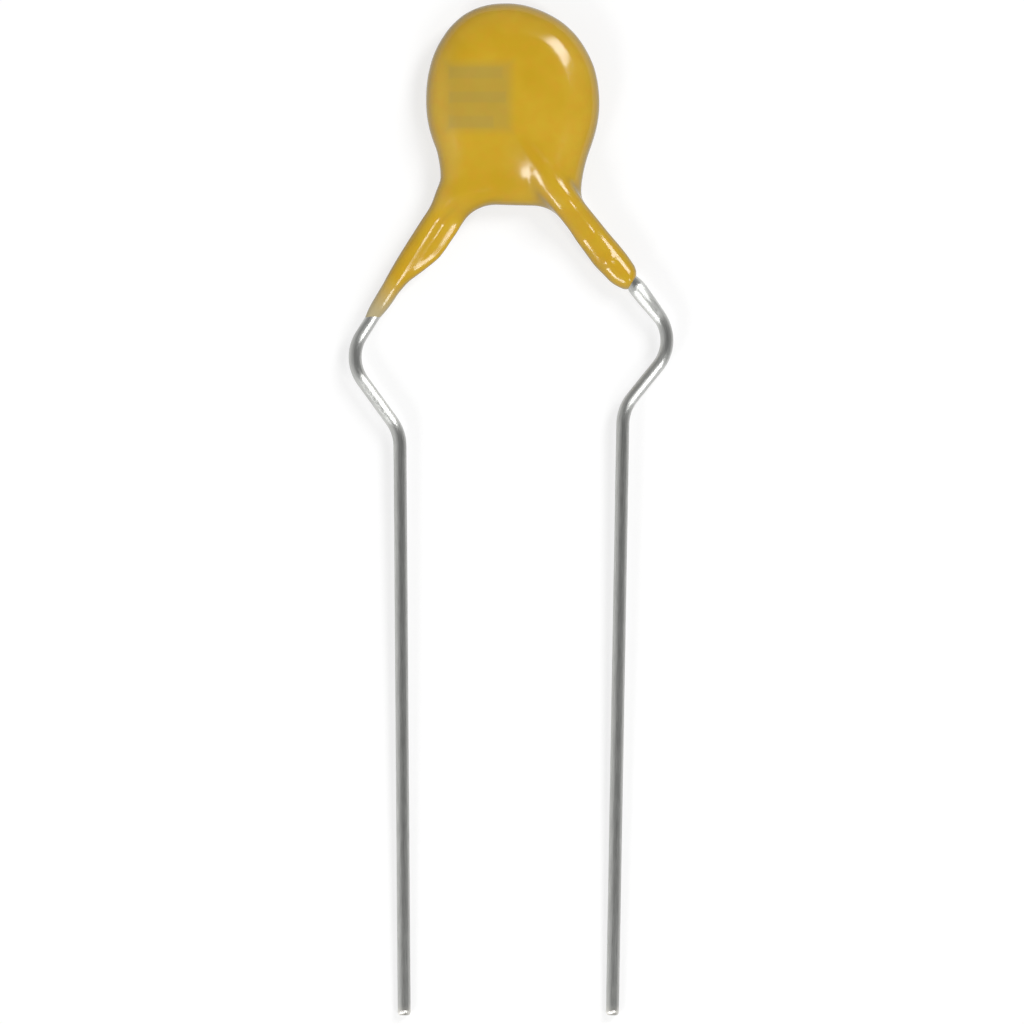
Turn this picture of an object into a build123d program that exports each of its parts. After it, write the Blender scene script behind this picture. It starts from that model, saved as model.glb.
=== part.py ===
from build123d import *
import os
from collections import namedtuple
from math import asin, cos, degrees, radians, sin, sqrt

# Resettable fuse with two kinked radial leads, in millimetres.
# It lies on its back: disc towards +Y, leads towards -Y, front face up. Points of the
# part are (across, up) on its own flat middle plane, measured from the widest line of
# the coated body, and heights are measured from that plane towards the front.

# Sandwich inside the coating
chip_radius = 3.2
chip_thickness = 0.8
chip_centre = (0, 0.35)
foil_thickness = 0.08
solder_film = 0.05
solder_width = 1.15
solder_height = 0.42
solder_taper = 25
solder_overhang = 0.3
solder_lap = 1.25

# Wire
wire_radius = 0.3
cut_chamfer = 0.06
leave_run = 1.8
level_run = 5.7
set_radius = 1.5
elbow_radius = 1.85
knee_radius = 2.0

Lead = namedtuple("Lead", "side inner elbow knee tip")
front = Lead(1, Vector(0.25, -1.45), Vector(7.55, -10.9), Vector(5.05, -14.0), Vector(4.57, -41.6))
rear = Lead(-1, Vector(-0.8, -1.1), Vector(-7.52, -11.7), Vector(-5.1, -15.05), Vector(-4.91, -41.6))

# Epoxy coating, a disc that thins below the chip to a waist and splits into two sleeves
body_half_width = 3.95
crown_height = 4.45
body_half_depth = 1.27
rim_belt = 0.07
shoulder_radius = 5.55
waist_radius = 5.43
shoulder_turn = 21
thin_from = -2.0
thin_to = -4.5
thin_half_depth = 0.62
body_bottom = -4.8
body_spans = 8
bottom_rim = 0.45
web_top = -2.6
web_half_width = 3.2
web_half_depth = 0.5
web_rim = 0.45
strip_above_neck = 1.2
strip_below_neck = 1.7
strip_outside = 0.4
strip_inside = 0.75
flare_radius = 1.6
crotch_radius = 1.3
blend_radius = 0.15
blend_reach = -6
crease_angle = 12
touching = 0.01

# Sleeves: run past the neck, half width, half depth, and how far the coat sags to the inner side
neck = -4.7
front_coat = [
    (-4.5, 0.24, 0.24, 0),
    (-3.7, 0.38, 0.36, 0),
    (-2.5, 0.48, 0.42, 0.06),
    (-1.2, 0.6, 0.46, 0.14),
    (0.5, 0.68, 0.5, 0.22),
    (1.4, 0.68, 0.5, 0.2),
    (2.7, 0.745, 0.52, 0.155),
    (4.0, 0.68, 0.52, 0.15),
    (4.5, 0.6, 0.5, 0.14),
    (4.95, 0.4, 0.4, 0.02),
]
rear_coat = [
    (-4.65, 0.24, 0.24, 0),
    (-3.85, 0.38, 0.36, 0),
    (-2.5, 0.5, 0.42, 0.08),
    (-1.2, 0.66, 0.46, 0.2),
    (0.75, 0.83, 0.5, 0.36),
    (2.2, 0.82, 0.5, 0.32),
    (2.75, 0.73, 0.48, 0.24),
    (3.4, 0.6, 0.46, 0.12),
    (4.3, 0.42, 0.4, 0.01),
    (5.2, 0.38, 0.37, 0),
    (6.4, 0.34, 0.34, 0),
]

# Heights that follow from the sandwich
foil_face = chip_thickness / 2 + foil_thickness
lead_height = foil_face + solder_film + wire_radius

# Resting plane: the back of the disc and both wire tips touch the floor
rest_angle = asin((body_half_depth - wire_radius) / (thin_from - front.tip.Y))
centre_height = -front.tip.Y * sin(rest_angle) + wire_radius * cos(rest_angle)
centre_back = -(crown_height + front.tip.Y) / 2 * cos(rest_angle)
lie = Plane(
    origin=(0, centre_back, centre_height),
    x_dir=(1, 0, 0),
    z_dir=(0, -sin(rest_angle), cos(rest_angle)),
)


def half_width(up):
    """Half the body's width below its widest line, along the shoulder and waist arcs."""
    turn = radians(shoulder_turn)
    reach = shoulder_radius + waist_radius
    shoulder_middle = body_half_width - shoulder_radius
    if up > -shoulder_radius * sin(turn):
        return shoulder_middle + sqrt(shoulder_radius**2 - up**2)
    rise = max(up + reach * sin(turn), 0)
    return shoulder_middle + reach * cos(turn) - sqrt(waist_radius**2 - rise**2)


def half_depth(up):
    """Half the body's thickness, which falls in a soft step below the chip."""
    share = min(1, max(0, (up - thin_to) / (thin_from - thin_to)))
    return thin_half_depth + (body_half_depth - thin_half_depth) * share**2 * (3 - 2 * share)


def level(up):
    """Plane square to the body at a height, facing the leads."""
    return Plane(lie.location * Plane(origin=(0, up, 0), x_dir=(1, 0, 0), z_dir=(0, -1, 0)).location)


def slant(lead):
    """Direction of the lead's straight run from its inner end to its elbow."""
    return (lead.elbow - lead.inner).normalized()


def axis_point(lead, run):
    """Point of the lead's axis, a run away from its inner end."""
    share = min(1, max(0, (level_run - run) / (level_run - leave_run)))
    flat = lead.inner + slant(lead) * run
    return Vector(flat.X, flat.Y, lead.side * lead_height * share)


def neck_run(lead):
    """Run from the lead's inner end to the neck of the coating."""
    return (neck - lead.inner.Y) / slant(lead).Y


def station(lead, run):
    """Plane square to the slanting run on the lead's axis, x towards the other lead."""
    along = slant(lead)
    across = Vector(along.Y, -along.X) * lead.side
    local = Plane(origin=axis_point(lead, run), x_dir=across, z_dir=along)
    return Plane(lie.location * local.location)


def creases(part):
    """Edges near the body at which two faces meet at an angle."""
    found = []
    for edge in part.edges():
        faces = [face for face in part.faces() if any(edge.is_same(other) for other in face.edges())]
        if len(faces) != 2 or lie.to_local_coords(edge.center()).Y < blend_reach:
            continue
        middle = edge.position_at(0.5)
        first, second = (face.normal_at(middle) for face in faces)
        if first.get_angle(second) > crease_angle:
            found.append(edge)
    return found


os.makedirs("parts", exist_ok=True)

# Chip of conductive polymer
with BuildPart() as ptc_chip:
    with BuildSketch(lie.offset(-chip_thickness / 2)):
        with Locations(chip_centre):
            Circle(chip_radius)
    extrude(amount=chip_thickness)
ptc_chip.part.label = "ptc_chip"
export_step(ptc_chip.part, "parts/ptc_chip.step")
inner_pieces = [ptc_chip.part]

# Foil electrodes, laminated on both faces and punched out with the chip
for name, lead in (("front_electrode", front), ("rear_electrode", rear)):
    with BuildPart() as foil:
        with BuildSketch(lie.offset(lead.side * chip_thickness / 2)):
            with Locations(chip_centre):
                Circle(chip_radius)
        extrude(amount=lead.side * foil_thickness)
    foil.part.label = name
    export_step(foil.part, f"parts/{name}.step")
    inner_pieces.append(foil.part)

# Leads: flat along the foil, down to the middle plane, out to the elbow, in to the knee
wires = []
for name, lead in (("front_lead", front), ("rear_lead", rear)):
    with BuildPart() as wire:
        bends = [axis_point(lead, run) for run in (0, leave_run, level_run)]
        bends += [lead.elbow, lead.knee, lead.tip]
        with BuildLine() as route:
            FilletPolyline(
                *[lie.from_local_coords(bend) for bend in bends],
                radius=[set_radius, set_radius, elbow_radius, knee_radius],
            )
        with BuildSketch(Plane(origin=route.line @ 0, z_dir=route.line % 0)):
            Circle(wire_radius)
        sweep(path=route.line)
        chamfer(wire.edges().sort_by(Axis.Y)[0], cut_chamfer)
    wire.part.label = name
    export_step(wire.part, f"parts/{name}.step")
    wires.append(wire.part)

# Solder joints: a low mound round the end of each wire, on the foil
for name, lead, wire_part in (("front_solder", front, wires[0]), ("rear_solder", rear, wires[1])):
    middle_run = (solder_lap - solder_overhang) / 2
    middle = axis_point(lead, middle_run)
    lean = degrees(asin(slant(lead).X))
    with BuildPart() as solder:
        with BuildSketch(lie.offset(lead.side * foil_face)):
            with Locations(Location((middle.X, middle.Y), lean - 90)):
                SlotOverall(solder_lap + solder_overhang, solder_width)
        extrude(amount=lead.side * solder_height, taper=solder_taper)
        add(wire_part, mode=Mode.SUBTRACT)
    solder.part.label = name
    export_step(solder.part, f"parts/{name}.step")
    inner_pieces.append(solder.part)

# Crown of the coating: half a disc with its rim rounded on both faces
with BuildPart() as crown:
    with BuildSketch(lie.offset(-body_half_depth)):
        with BuildLine():
            arch = EllipticalCenterArc((0, 0), body_half_width, crown_height, start_angle=0, arc_size=180)
            Line(arch @ 1, arch @ 0)
        make_face()
    extrude(amount=2 * body_half_depth)
    flat_faces = crown.faces().filter_by(GeomType.PLANE).sort_by(SortBy.AREA)[-2:]
    rim = [edge for edge in flat_faces.edges() if edge.geom_type != GeomType.LINE]
    fillet(rim, body_half_depth - rim_belt)

# Lower body of the coating: sections that thin below the chip, lofted past both ends and cut to length
with BuildPart() as lower_body:
    step = -body_bottom / body_spans
    for number in range(-2, body_spans + 2):
        up = -step * number
        with BuildSketch(level(up)):
            RectangleRounded(2 * half_width(up), 2 * half_depth(up), half_depth(up) - rim_belt)
    loft()
    split(bisect_by=level(0), keep=Keep.TOP)
    split(bisect_by=level(body_bottom), keep=Keep.BOTTOM)
    bottom = lower_body.faces().filter_by(GeomType.PLANE).sort_by(Axis.Y)[0]
    fillet(bottom.edges(), bottom_rim)

# Web of the coating: the thin skin that fills the corners between body and leads
with BuildPart() as web:
    with BuildSketch(lie.offset(-web_half_depth)) as web_outline:
        with Locations((0, (web_top + body_bottom) / 2)):
            Rectangle(2 * web_half_width, web_top - body_bottom)
        for lead in (front, rear):
            run = neck_run(lead)
            start = lead.inner + slant(lead) * (run - strip_above_neck)
            end = lead.inner + slant(lead) * (run + strip_below_neck)
            across = Vector(slant(lead).Y, -slant(lead).X) * lead.side
            with BuildLine():
                Polyline(
                    start - across * strip_outside,
                    end - across * strip_outside,
                    end + across * strip_inside,
                    start + across * strip_inside,
                    close=True,
                )
            make_face()
        flares = [
            v for v in web_outline.vertices()
            if abs(abs(v.X) - web_half_width) < touching and body_bottom < v.Y < (web_top + body_bottom) / 2
        ]
        crotches = [
            v for v in web_outline.vertices()
            if abs(v.Y - body_bottom) < touching and abs(v.X) < web_half_width - touching
        ]
        fillet(flares, flare_radius)
        fillet(crotches, crotch_radius)
    extrude(amount=2 * web_half_depth)
    flat_faces = web.faces().filter_by(GeomType.PLANE).sort_by(SortBy.AREA)[-2:]
    fillet(flat_faces.edges(), web_rim)

# Sleeves of the coating: a ridge over the wire's end, then a coat that runs out on the wire
sleeves = []
for lead, coat in ((front, front_coat), (rear, rear_coat)):
    with BuildPart() as sleeve:
        for past_neck, wide, deep, sag in coat:
            with BuildSketch(station(lead, neck_run(lead) + past_neck)):
                with Locations((sag, 0)):
                    Ellipse(wide, deep)
        loft()
    sleeves.append(sleeve.part)

with BuildPart() as epoxy_coating:
    for piece in (web.part, *sleeves, lower_body.part, crown.part):
        add(piece)
    fillet(creases(epoxy_coating.part), blend_radius)
    add(inner_pieces + wires, mode=Mode.SUBTRACT)
epoxy_coating.part.label = "epoxy_coating"
export_step(epoxy_coating.part, "parts/epoxy_coating.step")
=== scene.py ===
"""Looks of a resettable fuse that lies on its back: a disc dipped in yellow epoxy, with two kinked wires.

The dipped coat is one skin. It is taken from a field of distances that blends the disc, the web under it and
the sleeves on both wires. Points of the part are in millimetres on its own flat middle plane: across, up from
the widest line of the disc, and out towards the front face. `lay_down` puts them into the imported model's
frame, in metres.
"""
import math

import bpy
import numpy as np
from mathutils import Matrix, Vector


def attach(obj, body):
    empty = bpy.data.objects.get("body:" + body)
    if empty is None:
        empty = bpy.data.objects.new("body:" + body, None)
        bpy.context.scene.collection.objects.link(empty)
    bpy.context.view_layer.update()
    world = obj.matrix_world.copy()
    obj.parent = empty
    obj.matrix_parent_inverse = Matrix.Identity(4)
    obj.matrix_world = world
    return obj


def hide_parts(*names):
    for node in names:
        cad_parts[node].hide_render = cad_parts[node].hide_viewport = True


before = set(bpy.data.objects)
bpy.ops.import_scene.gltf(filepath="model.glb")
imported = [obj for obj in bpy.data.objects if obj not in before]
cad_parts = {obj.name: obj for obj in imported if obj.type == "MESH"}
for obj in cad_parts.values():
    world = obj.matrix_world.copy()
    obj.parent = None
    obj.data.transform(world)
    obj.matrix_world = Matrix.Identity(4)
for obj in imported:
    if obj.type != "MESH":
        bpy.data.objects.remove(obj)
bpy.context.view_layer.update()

MM = 0.001

# How the part lies: the back of the coat and both wire tips touch the floor
CROWN_HEIGHT = 4.45
TIP_UP = -41.6
TOUCH_UP = -2.0
TOUCH_DEPTH = 1.27
WIRE_RADIUS = 0.3
REST_SINE = (TOUCH_DEPTH - WIRE_RADIUS) / (TOUCH_UP - TIP_UP)
REST_COSINE = math.sqrt(1 - REST_SINE ** 2)
LIE_BACK = -(CROWN_HEIGHT + TIP_UP) / 2 * REST_COSINE
LIE_HEIGHT = -TIP_UP * REST_SINE + WIRE_RADIUS * REST_COSINE

# Wires: side of the disc, inner end, elbow, knee and tip
LEADS = {
    "front": dict(side=1, inner=(0.25, -1.45), elbow=(7.55, -10.9), knee=(5.05, -14.0), tip=(4.57, TIP_UP)),
    "rear": dict(side=-1, inner=(-0.8, -1.1), elbow=(-7.52, -11.7), knee=(-5.1, -15.05), tip=(-4.91, TIP_UP)),
}
# Height of a wire on its foil, and how far from its end it leaves the foil and is down in the middle
LEAD_HEIGHT = 0.83
LEAVE_RUN = 1.8
LEVEL_RUN = 5.7
SET_RADIUS = 1.5
ELBOW_RADIUS = 1.85
KNEE_RADIUS = 2.0
# Most tin that ran down from the coat and set on the wire
TIN_BUILD_UP = {"front": 0.1, "rear": 0.0}

# Disc of the coat
HALF_WIDTH = 3.95
CROWN_FULLNESS = 2.1
SHOULDER_RADIUS = 5.55
WAIST_RADIUS = 5.43
SHOULDER_TURN = math.radians(21)
FACE_DEPTH = 1.255
FACE_RIM = 1.8
# Where the body starts and ends thinning below the chip: beside the wire's ridge, and away from it
THIN_BY_RIDGE = (-3.0, -4.8)
THIN_AWAY = (-0.2, -5.6)
# From where to where across it changes from one to the other, and how deep it changes from front to back
RIDGE_SIDE = (-0.9, 1.5)
RIDGE_CHANGES_FACE = 0.3
WEB_DEPTH = 0.61
WEB_RIM = 0.75
WEB_BOTTOM = -4.74
WEB_SLOPE = -0.03
WEB_CORNER_BLEND = 0.9
# Height, and how far the dipped disc leans sideways there
LEAN = [
    (-6.0, -0.08), (-4.0, -0.06), (-3.2, 0.0), (-2.2, 0.05), (0.0, 0.03), (1.5, 0.0),
    (2.3, -0.05), (3.0, -0.09), (3.6, -0.16), (4.0, -0.24), (4.45, -0.33),
]

# Sleeves of the coat: run past the neck, reach outwards, reach inwards, half depth of the inner lobe
NECK = -4.7
SLEEVES = {
    "front": [
        (-4.7, 0.24, 0.24, 0.24), (-3.7, 0.34, 0.39, 0.32), (-2.8, 0.50, 0.48, 0.35),
        (-2.0, 0.58, 0.60, 0.37), (-1.2, 0.56, 0.80, 0.41), (-0.5, 0.50, 0.85, 0.42), (0.3, 0.43, 0.84, 0.42),
        (0.8, 0.46, 0.84, 0.42), (1.45, 0.48, 0.90, 0.42), (1.9, 0.49, 0.90, 0.44), (2.8, 0.56, 0.92, 0.46),
        (3.4, 0.57, 0.84, 0.46), (3.85, 0.53, 0.81, 0.46), (4.2, 0.49, 0.67, 0.44),
        (4.6, 0.45, 0.44, 0.41), (5.0, 0.42, 0.40, 0.39),
    ],
    "rear": [
        (-4.7, 0.24, 0.24, 0.24), (-3.7, 0.32, 0.34, 0.28), (-2.8, 0.36, 0.55, 0.28),
        (-2.0, 0.42, 0.80, 0.30), (-1.2, 0.43, 0.95, 0.28), (0.2, 0.45, 1.14, 0.26), (0.6, 0.47, 1.18, 0.25),
        (1.3, 0.49, 1.15, 0.25), (1.7, 0.49, 1.155, 0.26), (2.2, 0.50, 1.11, 0.30),
        (2.75, 0.49, 0.92, 0.33), (3.3, 0.47, 0.72, 0.35), (3.85, 0.44, 0.50, 0.35),
        (4.4, 0.41, 0.385, 0.345), (5.2, 0.385, 0.36, 0.33), (6.0, 0.355, 0.335, 0.32),
        (6.9, 0.32, 0.31, 0.30),
    ],
}
# Fullness of a sleeve's section: 2 is an ellipse, and more is flatter with a rounder rim
LOBE_FULLNESS = {"front": 2.0, "rear": 2.2}
# How softly that section blends with the plain coat round the wire, whose thickness is next
LOBE_BLEND = 0.15
SKIN = 0.14
# A bead of the coat on the front sleeve: place and radius
BEAD = (4.41, -7.2, 0.1, 0.42)
BEAD_BLEND = 0.12
# Where each sleeve starts and ends past the neck, how long its end tapers, and how much later it ends inwards
SLEEVE_ENDS = {"front": (-4.7, 4.55, 0.45, 0.45), "rear": (-4.7, 6.6, 1.4, -0.7)}
# How long the start of a sleeve tapers, over the wire's end on the foil
SLEEVE_HEAD = 0.6
# Where the coat thins to a film that the metal shows through, past the neck
FILM = {"front": (4.3, 5.0), "rear": (3.8, 6.1)}
# How softly each sleeve flows into the disc, outside and inside of its wire, and where it changes across it
FLOW = {"front": (0.4, 0.7), "rear": (0.8, 1.2)}
FLOW_CHANGE = (-0.3, 0.6)
# How softly a ridge flows into the face, and how far below the widest line this gives way to the above
FLOW_ON_FACE = 0.17
FACE_ENDS = (2.9, 4.4)
# How far the coat stands off a wire where that leaves the face, where this is along the wire, and its spread
STAND_OFF = {"front": (0.36, 4.1, 1.2), "rear": (0.0, 4.0, 1.0)}
# Most that the slow waves in the skin take off it
WAVINESS = 0.02
# The least slope that is taken to turn a level into a distance, so that it stays fair near the middle
DISC_LEAST_SLOPE = 0.35
LOBE_LEAST_SLOPE = 0.5
# Corners of the room that the skin is looked for in, and how finely
COAT_ROOM = ((-7.2, -11.2, -1.7), (7.0, 4.8, 1.7))
COAT_PITCH = 0.07
# How level the skin is where the painted shade at the rim is full, and where that painted shade ends
RIM_SHADE = (0.2, 0.85)
# Three plain dull bars on the front face (left end, right end, height), on a field that is less dull
BARS = [(-2.92, -0.35, 1.27), (-2.92, -0.2, 0.17), (-2.92, -0.75, -0.93)]
BAR_HALF_HEIGHT = 0.34
BAR_SOFTNESS = 0.16
BAR_FIELD = (-3.0, -0.05, -1.35, 1.7)
FIELD_SOFTNESS = 0.35
FIELD_DULLNESS = 0.75


def lay_down(points):
    """Points of the part, in millimetres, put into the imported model's frame, in metres."""
    across, up, out = np.asarray(points, float).T
    back = LIE_BACK + up * REST_COSINE - out * REST_SINE
    height = LIE_HEIGHT + up * REST_SINE + out * REST_COSINE
    return np.stack((across, back, height), 1) * MM


def smooth_min(a, b, blend):
    """The lesser of two distances, rounded where they are within `blend` of each other."""
    near = np.maximum(blend - np.abs(a - b), 0) / blend
    return np.minimum(a, b) - near * near * blend / 4


def smooth_step(x, low, high):
    """From 0 at `low` to 1 at `high`, level at both ends."""
    t = np.clip((x - low) / (high - low), 0, 1)
    return t * t * (3 - 2 * t)


def disc_edge(across, up):
    """Distance to the outline of the disc and web in the flat plane, less than 0 inside."""
    across = across - np.interp(up, *zip(*LEAN))
    side = np.abs(across)
    high = np.maximum(up, 0)
    n = CROWN_FULLNESS
    a, b = side / HALF_WIDTH, high / CROWN_HEIGHT
    level = np.maximum((a ** n + b ** n) ** (1 / n), 1e-6)
    steep = np.hypot(a ** (n - 1) / HALF_WIDTH, b ** (n - 1) / CROWN_HEIGHT) * level ** (1 - n)
    crown = (level - 1) / np.maximum(steep, 1e-3)
    middle = HALF_WIDTH - SHOULDER_RADIUS
    shoulder = np.hypot(side - middle, up) - SHOULDER_RADIUS
    reach = SHOULDER_RADIUS + WAIST_RADIUS
    waist_across = middle + reach * math.cos(SHOULDER_TURN)
    waist_up = -reach * math.sin(SHOULDER_TURN)
    waist = WAIST_RADIUS - np.hypot(side - waist_across, np.maximum(up, waist_up) - waist_up)
    below = up < -(side - middle) * math.tan(SHOULDER_TURN)
    flank = np.where(up > 0, crown, np.where(below, waist, shoulder))
    bottom = WEB_BOTTOM + WEB_SLOPE * across - up
    return -smooth_min(-flank, -bottom, WEB_CORNER_BLEND)


def smoothed(rows, spread=0.15, step=0.02):
    """The rows of a sleeve as smooth curves over the run."""
    rows = np.array(rows)
    run = np.arange(rows[0, 0] - 1, rows[-1, 0] + 1, step)
    window = np.exp(-0.5 * (np.arange(-4 * spread, 4 * spread, step) / spread) ** 2)
    pad = len(window) // 2
    lines = [np.interp(run, rows[:, 0], column) for column in rows.T[1:]]
    padded = [np.pad(line, (pad, len(window) - 1 - pad), mode="edge") for line in lines]
    return run, [np.convolve(line, window / window.sum(), mode="valid") for line in padded]


SLEEVE_CURVES = {name: smoothed(rows) for name, rows in SLEEVES.items()}


def slant(lead):
    """Inner end and direction of a wire's slanting run, and the direction from it to the other wire."""
    inner, elbow = np.array(lead["inner"]), np.array(lead["elbow"])
    along = (elbow - inner) / math.dist(elbow, inner)
    return inner, along, np.array((along[1], -along[0])) * lead["side"]


def sleeve_field(name, across, up, out):
    """Distance to the coat on one wire, and how far a point is to the inner side of that wire."""
    lead = LEADS[name]
    inner, along, inwards = slant(lead)
    from_end = across - inner[0], up - inner[1]
    run = from_end[0] * along[0] + from_end[1] * along[1]
    off = from_end[0] * inwards[0] + from_end[1] * inwards[1]
    share = np.clip((LEVEL_RUN - run) / (LEVEL_RUN - LEAVE_RUN), 0, 1)
    height = LEAD_HEIGHT * (share + share * share * (3 - 2 * share)) / 2
    most, place, spread = STAND_OFF[name]
    outside = lead["side"] * out - height - most * np.exp(-((run - place) / spread) ** 2)
    # The coat also fills the room between the wire and the middle plane
    rise = np.where(outside < 0, np.minimum(outside + height, 0), outside)
    past = run - (NECK - inner[1]) / along[1]
    start, end, taper, late = SLEEVE_ENDS[name]
    end = end + late * np.clip(off, -1, 1)
    tail = np.clip((past - end + taper) / taper, 0, 1)
    head = np.clip((start + SLEEVE_HEAD - past) / SLEEVE_HEAD, 0, 1)
    keep = np.sqrt(np.maximum(1 - tail ** 2 - head ** 2, 0))
    beyond = np.maximum(np.maximum(start - past, past - end), 0)
    runs, curves = SLEEVE_CURVES[name]
    outer, inward, deep = (np.interp(past, runs, curve) * keep for curve in curves)
    ring = np.hypot(off, rise) - np.minimum(np.minimum(outer, inward), WIRE_RADIUS + SKIN * keep)
    wide = np.maximum((outer + inward) / 2, 1e-3)
    deep = np.maximum(deep, 1e-3)
    n = LOBE_FULLNESS[name]
    x, y = np.abs(off - (inward - outer) / 2) / wide, np.abs(rise) / deep
    level = np.maximum((x ** n + y ** n) ** (1 / n), 1e-6)
    steep = np.hypot(x ** (n - 1) / wide, y ** (n - 1) / deep) * level ** (1 - n)
    lobe = (level - 1) / np.maximum(steep, LOBE_LEAST_SLOPE)
    sleeve = smooth_min(ring, lobe, LOBE_BLEND)
    return np.where(beyond > 0, np.hypot(np.maximum(sleeve, 0), beyond), sleeve), off


def coat_field(across, up, out):
    """Distance to the skin of the coat, less than 0 inside."""
    edge = disc_edge(across, up)
    # The ridge is to the right on the front face, and to the left on the back
    by_ridge = smooth_step(across * np.clip(out / RIDGE_CHANGES_FACE, -1, 1), *RIDGE_SIDE)
    start, end = (away + (near - away) * by_ridge for near, away in zip(THIN_BY_RIDGE, THIN_AWAY))
    full = smooth_step(up, end, start)
    depth = WEB_DEPTH + (FACE_DEPTH - WEB_DEPTH) * full
    rim = WEB_RIM + (FACE_RIM - WEB_RIM) * full
    x, y = np.maximum(edge + rim, 0) / rim, np.abs(out) / depth
    level = np.hypot(x, y)
    steep = np.hypot(x / rim, y / depth) / np.maximum(level, 1e-6)
    skin = (level - 1) / np.maximum(steep, DISC_LEAST_SLOPE)
    for name in LEADS:
        sleeve, off = sleeve_field(name, across, up, out)
        outside, inside = FLOW[name]
        flow = outside + (inside - outside) * smooth_step(off, *FLOW_CHANGE)
        flow = FLOW_ON_FACE + (flow - FLOW_ON_FACE) * smooth_step(-up, *FACE_ENDS)
        skin = smooth_min(skin, sleeve, flow)
    bead = np.sqrt((across - BEAD[0]) ** 2 + (up - BEAD[1]) ** 2 + (out - BEAD[2]) ** 2) - BEAD[3]
    skin = smooth_min(skin, bead, BEAD_BLEND)
    # Waves some 3 to 5 mm long, each in a direction of its own, so that they make no regular pattern
    waves = np.sin(2.1 * across + 0.9 * up + 0.4) * np.sin(1.7 * up - 0.6 * across + 1.1)
    waves = waves * np.sin(1.3 * out + 0.7)
    return skin + WAVINESS * (0.5 + 0.5 * waves)


def skin_of(distances, low, pitch):
    """Closed quads on the zero level of a grid of distances: a point in each cell that the level crosses."""
    cells = tuple(n - 1 for n in distances.shape)
    total = np.zeros(cells + (3,))
    count = np.zeros(cells)
    quads = []
    for axis in range(3):
        near = np.delete(distances, -1, axis)
        far = np.delete(distances, 0, axis)
        at = np.argwhere((near < 0) != (far < 0))
        start, stop = near[tuple(at.T)], far[tuple(at.T)]
        crossing = at.astype(float)
        crossing[:, axis] += start / (start - stop)
        corners = []
        for a, b in ((0, 0), (1, 0), (1, 1), (0, 1)):
            cell = at.copy()
            cell[:, (axis + 1) % 3] -= a
            cell[:, (axis + 2) % 3] -= b
            np.add.at(total, tuple(cell.T), crossing)
            np.add.at(count, tuple(cell.T), 1)
            corners.append(np.ravel_multi_index(cell.T, cells))
        quad = np.stack(corners, 1)
        inwards = start >= 0
        quad[inwards] = quad[inwards][:, ::-1]
        quads.append(quad)
    used, index = np.unique(np.concatenate(quads), return_inverse=True)
    points = (total / np.maximum(count, 1)[..., None]).reshape(-1, 3)[used] * pitch + low
    return points, index.reshape(-1, 4)


def facing(points, field, reach=1e-3):
    """The slope of a field at each point: on a field of distances, the way that the skin faces."""
    return np.stack([
        (field(*(points + shift).T) - field(*(points - shift).T)) / (2 * reach)
        for shift in np.eye(3) * reach
    ], 1)


def settle(points, field, steps=3):
    """Points that are moved onto the zero level of a field."""
    for _ in range(steps):
        slope = facing(points, field)
        points = points - slope * (field(*points.T) / np.maximum((slope ** 2).sum(1), 0.1))[:, None]
    return points


def dulled(across, up, out):
    """How dull the front face is made at a point: 1 on the bars, less on the field round them."""
    def box(left, right, bottom, top, soft):
        inside = np.minimum(np.minimum(across - left, right - across), np.minimum(up - bottom, top - up))
        return smooth_step(inside, -soft, soft)

    dull = FIELD_DULLNESS * box(*BAR_FIELD, FIELD_SOFTNESS)
    for left, right, height in BARS:
        bar = box(left, right, height - BAR_HALF_HEIGHT, height + BAR_HALF_HEIGHT, BAR_SOFTNESS)
        dull = np.maximum(dull, bar)
    return dull * (out > 0)


def piece(name, data):
    """A new object of the scene, at the origin."""
    obj = bpy.data.objects.new(name, data)
    bpy.context.scene.collection.objects.link(obj)
    return obj


def dipped_coat():
    """The skin of the coat as one closed mesh, with what its finish needs at each point."""
    low, high = np.array(COAT_ROOM)
    grid = np.meshgrid(*(np.arange(a, b, COAT_PITCH) for a, b in zip(low, high)), indexing="ij")
    points, quads = skin_of(coat_field(*grid), low, COAT_PITCH)
    points = settle(points, coat_field)
    mesh = bpy.data.meshes.new("dipped_coat")
    mesh.from_pydata(lay_down(points).tolist(), [], quads.tolist())
    mesh.shade_smooth()
    across, up, out = points.T
    # Painted shade: the rim is darkened where the skin turns away from the face
    rim = 1 - smooth_step(np.abs(facing(points, coat_field)[:, 2]), *RIM_SHADE)
    film = np.zeros(len(points))
    for name, lead in LEADS.items():
        inner, along, _ = slant(lead)
        past = (across - inner[0]) * along[0] + (up - inner[1]) * along[1] - (NECK - inner[1]) / along[1]
        near = np.sign(across) == lead["side"]
        film = np.maximum(film, near * smooth_step(past, *FILM[name]))
    needed = {"rim_shade": rim, "thin_film": film, "dull_bars": dulled(across, up, out)}
    for label, values in needed.items():
        mesh.attributes.new(label, "FLOAT", "POINT").data.foreach_set("value", values.astype(np.float32))
    return piece("dipped_coat", mesh)


def add(tree, kind, inputs=None, **settings):
    """Adds a node with its settings; each of its inputs, by name or number, gets a value or a link."""
    node = tree.nodes.new(kind)
    for name, value in settings.items():
        setattr(node, name, value)
    for name, value in (inputs or {}).items():
        if isinstance(value, bpy.types.NodeSocket):
            tree.links.new(value, node.inputs[name])
        else:
            node.inputs[name].default_value = value
    return node


def linear(code):
    """An sRGB hex colour as linear values."""
    parts = [int(code[i:i + 2], 16) / 255 for i in (1, 3, 5)]
    return tuple(c / 12.92 if c <= 0.04045 else ((c + 0.055) / 1.055) ** 2.4 for c in parts) + (1.0,)


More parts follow.
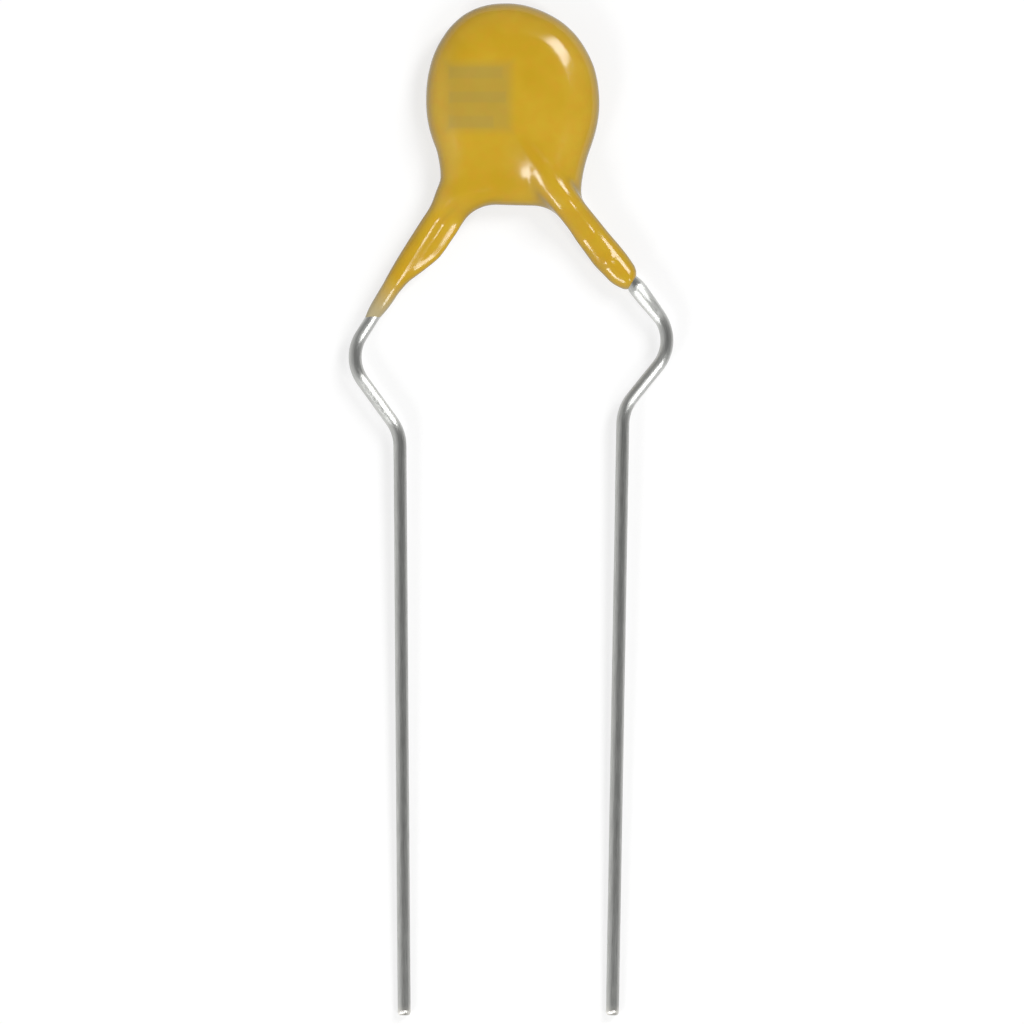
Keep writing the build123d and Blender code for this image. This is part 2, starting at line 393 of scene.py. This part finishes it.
def surface(name, metallic=0.0, roughness=0.5):
    """A new node material, with its tree, shader and millimetre coordinates on the piece."""
    material = bpy.data.materials.new(name)
    material.use_nodes = True
    tree = material.node_tree
    shader = tree.nodes["Principled BSDF"]
    shader.inputs["Metallic"].default_value = metallic
    shader.inputs["Roughness"].default_value = roughness
    place = add(tree, "ShaderNodeTexCoord")
    in_mm = add(tree, "ShaderNodeMapping", {"Vector": place.outputs["Object"], "Scale": (1 / MM,) * 3})
    return material, tree, shader, in_mm.outputs["Vector"]


# Inputs of a Mix node between two colours, and its output
SHARE, FIRST, SECOND, MIXED = 0, 6, 7, 2


def dipped_epoxy():
    """Filled epoxy, dipped and cured: glossy, with the faint clouds and slow waves of a poured skin."""
    material, tree, shader, place = surface("dipped_epoxy")
    # Clouds about 2 mm wide, where the coat set thicker and thinner
    clouds = add(tree, "ShaderNodeTexNoise", {"Vector": place, "Scale": 0.5, "Detail": 2.0, "Roughness": 0.5})
    share = add(tree, "ShaderNodeMapRange", {
        "Value": clouds.outputs["Fac"], "From Min": 0.35, "From Max": 0.65,
    })
    body = add(tree, "ShaderNodeMix", {
        SHARE: share.outputs[0], FIRST: linear("#c9a11b"), SECOND: linear("#d1aa28"),
    }, data_type="RGBA")
    # The filler's own mottling: half a millimetre, a few times coarser than its grains, so that it shows
    grain = add(tree, "ShaderNodeTexNoise", {"Vector": place, "Scale": 2.2, "Detail": 3.0})
    share = add(tree, "ShaderNodeMapRange", {
        "Value": grain.outputs["Fac"], "From Min": 0.4, "From Max": 0.8, "To Max": 0.45,
    })
    body = add(tree, "ShaderNodeMix", {
        SHARE: share.outputs[0], FIRST: body.outputs[MIXED], SECOND: linear("#d69b24"),
    }, data_type="RGBA")
    # Painted olive shade where the rim turns over, pale grey where the film shows the metal, grey-brown on
    # bars
    tints = (("rim_shade", 0.75, "#937c38"), ("thin_film", 0.85, "#b9b090"), ("dull_bars", 0.55, "#a3914a"))
    for label, most, code in tints:
        there = add(tree, "ShaderNodeAttribute", attribute_name=label)
        share = add(tree, "ShaderNodeMath", {0: there.outputs["Fac"], 1: most}, operation="MULTIPLY")
        body = add(tree, "ShaderNodeMix", {
            SHARE: share.outputs[0], FIRST: body.outputs[MIXED], SECOND: linear(code),
        }, data_type="RGBA")
    tree.links.new(body.outputs[MIXED], shader.inputs["Base Color"])
    # The bars, which are the last of the tints, are also less glossy
    gloss = add(tree, "ShaderNodeMapRange", {"Value": there.outputs["Fac"], "To Min": 0.16, "To Max": 0.26})
    tree.links.new(gloss.outputs[0], shader.inputs["Roughness"])
    shader.inputs["IOR"].default_value = 1.52
    # The flow of the skin before it set, in swells of about 0.7 mm
    peel = add(tree, "ShaderNodeTexNoise", {"Vector": place, "Scale": 1.4, "Detail": 1.0})
    bump = add(tree, "ShaderNodeBump", {"Height": peel.outputs["Fac"], "Distance": 0.01 * MM})
    tree.links.new(bump.outputs["Normal"], shader.inputs["Normal"])
    return material


def tinned_wire():
    """Copper-clad steel wire, drawn and hot-tinned: a soft grey sheen with fine lines along the wire."""
    material, tree, shader, place = surface("tinned_steel_wire", metallic=1.0)
    around = add(tree, "ShaderNodeAttribute", attribute_name="round")
    run = add(tree, "ShaderNodeAttribute", attribute_name="run")
    along = add(tree, "ShaderNodeCombineXYZ", {"Z": run.outputs["Fac"]})
    # Six lines to a radius round the wire, one to a millimetre along it: coarser than real ones, to show
    spread = add(tree, "ShaderNodeVectorMath", {0: around.outputs["Vector"], "Scale": 6.0}, operation="SCALE")
    path = add(tree, "ShaderNodeVectorMath", {0: spread.outputs[0], 1: along.outputs[0]}, operation="ADD")
    lines = add(tree, "ShaderNodeTexNoise", {
        "Vector": path.outputs[0], "Scale": 1.0, "Detail": 3.0, "Roughness": 0.6,
    })
    share = add(tree, "ShaderNodeMapRange", {
        "Value": lines.outputs["Fac"], "From Min": 0.3, "From Max": 0.7,
    })
    body = add(tree, "ShaderNodeMix", {
        SHARE: share.outputs[0], FIRST: linear("#b4b5b2"), SECOND: linear("#d3d4d1"),
    }, data_type="RGBA")
    # The tip was cut after tinning, and is brighter
    cut = add(tree, "ShaderNodeAttribute", attribute_name="fresh_cut")
    body = add(tree, "ShaderNodeMix", {
        SHARE: cut.outputs["Fac"], FIRST: body.outputs[MIXED], SECOND: linear("#e6e4de"),
    }, data_type="RGBA")
    tree.links.new(body.outputs[MIXED], shader.inputs["Base Color"])
    # Tin that cooled unevenly, in patches of about 0.6 mm
    clouds = add(tree, "ShaderNodeTexNoise", {"Vector": place, "Scale": 1.6, "Detail": 3.0})
    rough = add(tree, "ShaderNodeMapRange", {"Value": clouds.outputs["Fac"], "To Min": 0.26, "To Max": 0.36})
    tree.links.new(rough.outputs[0], shader.inputs["Roughness"])
    # The lines left by drawing spread a reflection round the wire, hardly along it
    drawn = add(tree, "ShaderNodeAttribute", attribute_name="drawn")
    tree.links.new(drawn.outputs["Vector"], shader.inputs["Tangent"])
    shader.inputs["Anisotropic"].default_value = 0.95
    shader.inputs["Anisotropic Rotation"].default_value = 0.25
    bump = add(tree, "ShaderNodeBump", {"Height": lines.outputs["Fac"], "Distance": 0.003 * MM})
    tree.links.new(bump.outputs["Normal"], shader.inputs["Normal"])
    return material


def carbon_polymer():
    """Polymer pressed full of carbon: matt black with a fine grey speckle."""
    material, tree, shader, place = surface("carbon_filled_polymer", roughness=0.7)
    # A tenth of a millimetre is far coarser than the carbon, but fine enough to read as pressed powder
    speckle = add(tree, "ShaderNodeTexNoise", {"Vector": place, "Scale": 12.0, "Detail": 2.0})
    share = add(tree, "ShaderNodeMapRange", {
        "Value": speckle.outputs["Fac"], "From Min": 0.4, "From Max": 0.7,
    })
    body = add(tree, "ShaderNodeMix", {
        SHARE: share.outputs[0], FIRST: linear("#1d1d20"), SECOND: linear("#34343a"),
    }, data_type="RGBA")
    tree.links.new(body.outputs[MIXED], shader.inputs["Base Color"])
    return material


def nickel_foil():
    """Rolled nickel foil, with its rough plated side to the polymer: satin, with fine rolling lines."""
    material, tree, shader, place = surface("nickel_foil", metallic=1.0, roughness=0.38)
    # Fourteen lines to the millimetre, which run along the part: coarser than rolls leave, to show
    rolled = add(tree, "ShaderNodeMapping", {"Vector": place, "Scale": (14, 0.8, 1)})
    lines = add(tree, "ShaderNodeTexNoise", {"Vector": rolled.outputs[0], "Scale": 1.0, "Detail": 2.0})
    share = add(tree, "ShaderNodeMapRange", {
        "Value": lines.outputs["Fac"], "From Min": 0.3, "From Max": 0.7,
    })
    body = add(tree, "ShaderNodeMix", {
        SHARE: share.outputs[0], FIRST: linear("#a8a499"), SECOND: linear("#c9c5ba"),
    }, data_type="RGBA")
    tree.links.new(body.outputs[MIXED], shader.inputs["Base Color"])
    return material


def soft_solder():
    """Tin solder, cooled in air: satin grey with faint frosted patches."""
    material, tree, shader, place = surface("soft_solder", metallic=1.0)
    # Patches of about 0.2 mm, as grains of tin set
    frost = add(tree, "ShaderNodeTexNoise", {"Vector": place, "Scale": 5.0, "Detail": 3.0})
    share = add(tree, "ShaderNodeMapRange", {
        "Value": frost.outputs["Fac"], "From Min": 0.35, "From Max": 0.7,
    })
    body = add(tree, "ShaderNodeMix", {
        SHARE: share.outputs[0], FIRST: linear("#a5a8aa"), SECOND: linear("#c8cacb"),
    }, data_type="RGBA")
    tree.links.new(body.outputs[MIXED], shader.inputs["Base Color"])
    rough = add(tree, "ShaderNodeMapRange", {"Value": frost.outputs["Fac"], "To Min": 0.25, "To Max": 0.5})
    tree.links.new(rough.outputs[0], shader.inputs["Roughness"])
    return material


def wire_builder(finish):
    """Geometry Nodes that bend a corner route into a round wire with a build-up of tin below the coat."""
    tree = bpy.data.node_groups.new("tinned_wire_builder", "GeometryNodeTree")
    sockets = {}
    tree.interface.new_socket("Geometry", in_out="INPUT", socket_type="NodeSocketGeometry")
    sizes = {
        "Wire Radius": WIRE_RADIUS * MM,
        "Step": 0.12 * MM,
        "Tin Build-up": TIN_BUILD_UP["front"] * MM,
        "Under Coat": 8.4 * MM,
        "Tin Start": 9.0 * MM,
        "Tin End": 11.4 * MM,
        "Cut Chamfer": 0.06 * MM,
        "Fresh Cut": 0.6 * MM,
        "Unevenness": 0.008 * MM,
    }
    for label, value in sizes.items():
        socket = tree.interface.new_socket(label, in_out="INPUT", socket_type="NodeSocketFloat")
        socket.default_value = value
        sockets[label] = socket.identifier
    tree.interface.new_socket("Geometry", in_out="OUTPUT", socket_type="NodeSocketGeometry")
    given = add(tree, "NodeGroupInput").outputs

    # Bend the corners and divide the wire evenly
    bend = add(tree, "GeometryNodeInputRadius")
    corners = add(tree, "GeometryNodeFilletCurve", mode="POLY")
    tree.links.new(given["Geometry"], corners.inputs["Curve"])
    tree.links.new(bend.outputs[0], corners.inputs["Radius"])
    corners.inputs["Count"].default_value = 16
    even = add(tree, "GeometryNodeResampleCurve", {
        "Curve": corners.outputs[0], "Length": given["Step"],
    }, mode="LENGTH")

    # Thicker where tin ran down from the coat, and thinner where the end was cut
    part = add(tree, "GeometryNodeSplineParameter")
    total = add(tree, "GeometryNodeSplineLength")
    build_up = add(tree, "ShaderNodeMapRange", {
        "Value": part.outputs["Length"], "From Min": given["Tin Start"], "From Max": given["Tin End"],
        "To Min": given["Tin Build-up"], "To Max": 0.0,
    }, interpolation_type="SMOOTHSTEP")
    emerge = add(tree, "ShaderNodeMapRange", {
        "Value": part.outputs["Length"], "From Min": given["Under Coat"], "From Max": given["Tin Start"],
    }, interpolation_type="SMOOTHSTEP")
    tin = add(tree, "ShaderNodeMath", {0: build_up.outputs[0], 1: emerge.outputs[0]}, operation="MULTIPLY")
    left = add(tree, "ShaderNodeMath", {
        0: total.outputs["Length"], 1: part.outputs["Length"],
    }, operation="SUBTRACT")
    past = add(tree, "ShaderNodeMath", {0: given["Cut Chamfer"], 1: left.outputs[0]}, operation="SUBTRACT")
    cut = add(tree, "ShaderNodeMath", {0: past.outputs[0], 1: 0.0}, operation="MAXIMUM")
    thick = add(tree, "ShaderNodeMath", {0: given["Wire Radius"], 1: tin.outputs[0]}, operation="ADD")
    radius = add(tree, "ShaderNodeMath", {0: thick.outputs[0], 1: cut.outputs[0]}, operation="SUBTRACT")
    sized = add(tree, "GeometryNodeSetCurveRadius", {"Curve": even.outputs[0], "Radius": radius.outputs[0]})

    # What the finish needs: the wire's direction, the millimetres along it, the way round it, and its cut
    in_mm = add(tree, "ShaderNodeMath", {0: part.outputs["Length"], 1: 1 / MM}, operation="MULTIPLY")
    near = add(tree, "ShaderNodeMapRange", {
        "Value": left.outputs[0], "From Max": given["Fresh Cut"], "To Min": 1.0, "To Max": 0.0,
    }, interpolation_type="SMOOTHSTEP")
    heading = add(tree, "GeometryNodeInputTangent")
    routed = add(tree, "GeometryNodeStoreNamedAttribute", {
        "Geometry": sized.outputs[0], "Name": "drawn", "Value": heading.outputs[0],
    }, data_type="FLOAT_VECTOR", domain="POINT")
    for label, value in (("run", in_mm), ("fresh_cut", near)):
        routed = add(tree, "GeometryNodeStoreNamedAttribute", {
            "Geometry": routed.outputs[0], "Name": label, "Value": value.outputs[0],
        }, data_type="FLOAT", domain="POINT")
    ring = add(tree, "GeometryNodeCurvePrimitiveCircle", {"Resolution": 28, "Radius": 1.0})
    place = add(tree, "GeometryNodeInputPosition")
    marked = add(tree, "GeometryNodeStoreNamedAttribute", {
        "Geometry": ring.outputs[0], "Name": "round", "Value": place.outputs[0],
    }, data_type="FLOAT_VECTOR", domain="POINT")
    grown = add(tree, "GeometryNodeInputRadius")
    tube = add(tree, "GeometryNodeCurveToMesh", {
        "Curve": routed.outputs[0], "Profile Curve": marked.outputs[0], "Scale": grown.outputs[0],
        "Fill Caps": True,
    })

    # Drawn wire is never quite even: it is lower in patches of about a millimetre
    lumps = add(tree, "ShaderNodeTexNoise", {"Scale": 0.9 / MM, "Detail": 1.0})
    dent = add(tree, "ShaderNodeMath", {
        0: lumps.outputs["Fac"], 1: given["Unevenness"],
    }, operation="MULTIPLY")
    sunk = add(tree, "ShaderNodeMath", {0: 0.0, 1: dent.outputs[0]}, operation="SUBTRACT")
    normal = add(tree, "GeometryNodeInputNormal")
    inwards = add(tree, "ShaderNodeVectorMath", {
        0: normal.outputs[0], "Scale": sunk.outputs[0],
    }, operation="SCALE")
    uneven = add(tree, "GeometryNodeSetPosition", {"Geometry": tube.outputs[0], "Offset": inwards.outputs[0]})
    smooth = add(tree, "GeometryNodeSetShadeSmooth", {"Geometry": uneven.outputs[0]})
    real = add(tree, "GeometryNodeRealizeInstances", {"Geometry": smooth.outputs[0]})
    done = add(tree, "GeometryNodeSetMaterial", {"Geometry": real.outputs[0], "Material": finish})
    add(tree, "NodeGroupOutput", {"Geometry": done.outputs[0]})
    return tree, sockets


def wire_route(lead):
    """Corner points of a wire in millimetres, each with its bend radius."""
    inner, along, _ = slant(lead)
    rise = lead["side"] * LEAD_HEIGHT
    stops = [(*inner, rise), (*(inner + along * LEAVE_RUN), rise), (*(inner + along * LEVEL_RUN), 0)]
    stops += [(*lead[corner], 0) for corner in ("elbow", "knee", "tip")]
    return stops, (0, SET_RADIUS, SET_RADIUS, ELBOW_RADIUS, KNEE_RADIUS, 0)


def bent_wire(name, lead, builder, sockets, tin):
    """A wire that is built along its corner route, with so much tin below the coat."""
    stops, bends = wire_route(lead)
    curve = bpy.data.curves.new(name + "_route", "CURVE")
    curve.dimensions = "3D"
    spline = curve.splines.new("POLY")
    spline.points.add(len(stops) - 1)
    for point, place, bend in zip(spline.points, lay_down(stops), bends):
        point.co = (*place, 1)
        point.radius = bend * MM
    route = piece(name + "_route", curve)
    modifier = route.modifiers.new("wire", "NODES")
    modifier.node_group = builder
    modifier[sockets["Tin Build-up"]] = tin * MM
    depsgraph = bpy.context.evaluated_depsgraph_get()
    mesh = bpy.data.meshes.new_from_object(route.evaluated_get(depsgraph))
    route.modifiers.remove(modifier)
    bpy.data.objects.remove(route)
    mesh.name = name
    return piece(name, mesh)


# Pieces
epoxy = dipped_epoxy()
coat = dipped_coat()
coat.data.materials.append(epoxy)
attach(coat, "root")
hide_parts("epoxy_coating")

builder, sockets = wire_builder(tinned_wire())
for name, lead in LEADS.items():
    wire = bent_wire(name + "_wire", lead, builder, sockets, TIN_BUILD_UP[name])
    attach(wire, "root")
    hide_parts(name + "_lead")

finishes = {"ptc_chip": carbon_polymer()}
foil, solder = nickel_foil(), soft_solder()
for side in ("front", "rear"):
    finishes[side + "_electrode"] = foil
    finishes[side + "_solder"] = solder
for node, finish in finishes.items():
    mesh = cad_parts[node].data
    mesh.materials.clear()
    mesh.materials.append(finish)

# Floor: pale paper that keeps the shadow, and glows to white only where it is seen or mirrored
FLOOR_HALF = 1.0
FLOOR_GLOW = 0.66
corners = [(FLOOR_HALF * x, FLOOR_HALF * y, 0) for x, y in ((-1, -1), (1, -1), (1, 1), (-1, 1))]
floor_mesh = bpy.data.meshes.new("floor")
floor_mesh.from_pydata(corners, [], [(0, 1, 2, 3)])
floor = piece("floor", floor_mesh)
paper = bpy.data.materials.new("white_paper")
paper.use_nodes = True
tree = paper.node_tree
shader = tree.nodes["Principled BSDF"]
shader.inputs["Base Color"].default_value = linear("#a4a4a4")
shader.inputs["Roughness"].default_value = 1.0
shader.inputs["Specular IOR Level"].default_value = 0.0
glow = add(tree, "ShaderNodeEmission", {"Strength": FLOOR_GLOW})
way = add(tree, "ShaderNodeLightPath")
seen = add(tree, "ShaderNodeMath", {0: way.outputs["Is Camera Ray"], 1: way.outputs["Is Glossy Ray"]},
           operation="MAXIMUM")
both = add(tree, "ShaderNodeAddShader", {0: shader.outputs[0], 1: glow.outputs[0]})
choose = add(tree, "ShaderNodeMixShader", {0: seen.outputs[0], 1: shader.outputs[0], 2: both.outputs[0]})
tree.links.new(choose.outputs[0], tree.nodes["Material Output"].inputs["Surface"])
floor_mesh.materials.append(paper)

# Light: a pale room, darker overhead and brighter on the lower left, and three lamps
ROOM_LEVEL = 0.31
LOWER_LEFT = (-0.85, -0.53, 0)
world = bpy.data.worlds.new("studio")
bpy.context.scene.world = world
world.use_nodes = True
tree = world.node_tree
way = add(tree, "ShaderNodeTexCoord").outputs["Generated"]
parts = add(tree, "ShaderNodeSeparateXYZ", {"Vector": way})
height = add(tree, "ShaderNodeMapRange", {
    "Value": parts.outputs["Z"], "From Min": 0.5, "From Max": 0.98, "To Min": 1.0, "To Max": 0.6,
}, interpolation_type="SMOOTHSTEP")
window = add(tree, "ShaderNodeVectorMath", {0: way, 1: LOWER_LEFT}, operation="DOT_PRODUCT")
beside = add(tree, "ShaderNodeMapRange", {
    "Value": window.outputs["Value"], "From Min": 0.25, "From Max": 0.85, "To Max": 1.5,
}, interpolation_type="SMOOTHSTEP")
room = add(tree, "ShaderNodeMath", {0: height.outputs[0], 1: beside.outputs[0]}, operation="ADD")
tree.links.new(room.outputs[0], tree.nodes["Background"].inputs["Color"])
tree.nodes["Background"].inputs["Strength"].default_value = ROOM_LEVEL


# What the lamps point at: the middle between the two sleeves
LAMPS_AIM = Vector((0, 0.012, 0.001))


def lamp(name, azimuth, tilt, distance, size, radiance):
    """A softbox: azimuth from across and tilt from straight up, in degrees; lengths are in metres."""
    a, t = math.radians(azimuth), math.radians(tilt)
    towards = Vector((math.sin(t) * math.cos(a), math.sin(t) * math.sin(a), math.cos(t)))
    data = bpy.data.lights.new(name, "AREA")
    data.shape = "RECTANGLE"
    data.size, data.size_y = size
    data.energy = radiance * math.pi * size[0] * size[1]
    light = piece(name, data)
    light.location = LAMPS_AIM + towards * distance
    light.rotation_euler = towards.to_track_quat("Z", "Y").to_euler()


lamp("upper_right_softbox", 41, 38, 0.3, (0.082, 0.13), 12)
lamp("lower_left_lamp", 230, 47, 0.3, (0.07, 0.07), 13)
lamp("lower_right_strip", 319, 33, 0.7, (0.1, 0.28), 11)

# Camera: straight above the part, far back with a long lens; the picture is this wide at mid height
PICTURE_WIDTH = 46.545 * MM
PICTURE_MIDDLE = -0.107 * MM
MID_HEIGHT = 1.3 * MM
DISTANCE = 0.5
camera_data = bpy.data.cameras.new("camera")
camera_data.sensor_width = 36
camera_data.lens = camera_data.sensor_width * DISTANCE / PICTURE_WIDTH
camera_data.clip_start, camera_data.clip_end = 0.01, 10
camera = piece("camera", camera_data)
camera.location = (0, PICTURE_MIDDLE, DISTANCE + MID_HEIGHT)
bpy.context.scene.camera = camera
bpy.context.scene.view_settings.view_transform = "Standard"
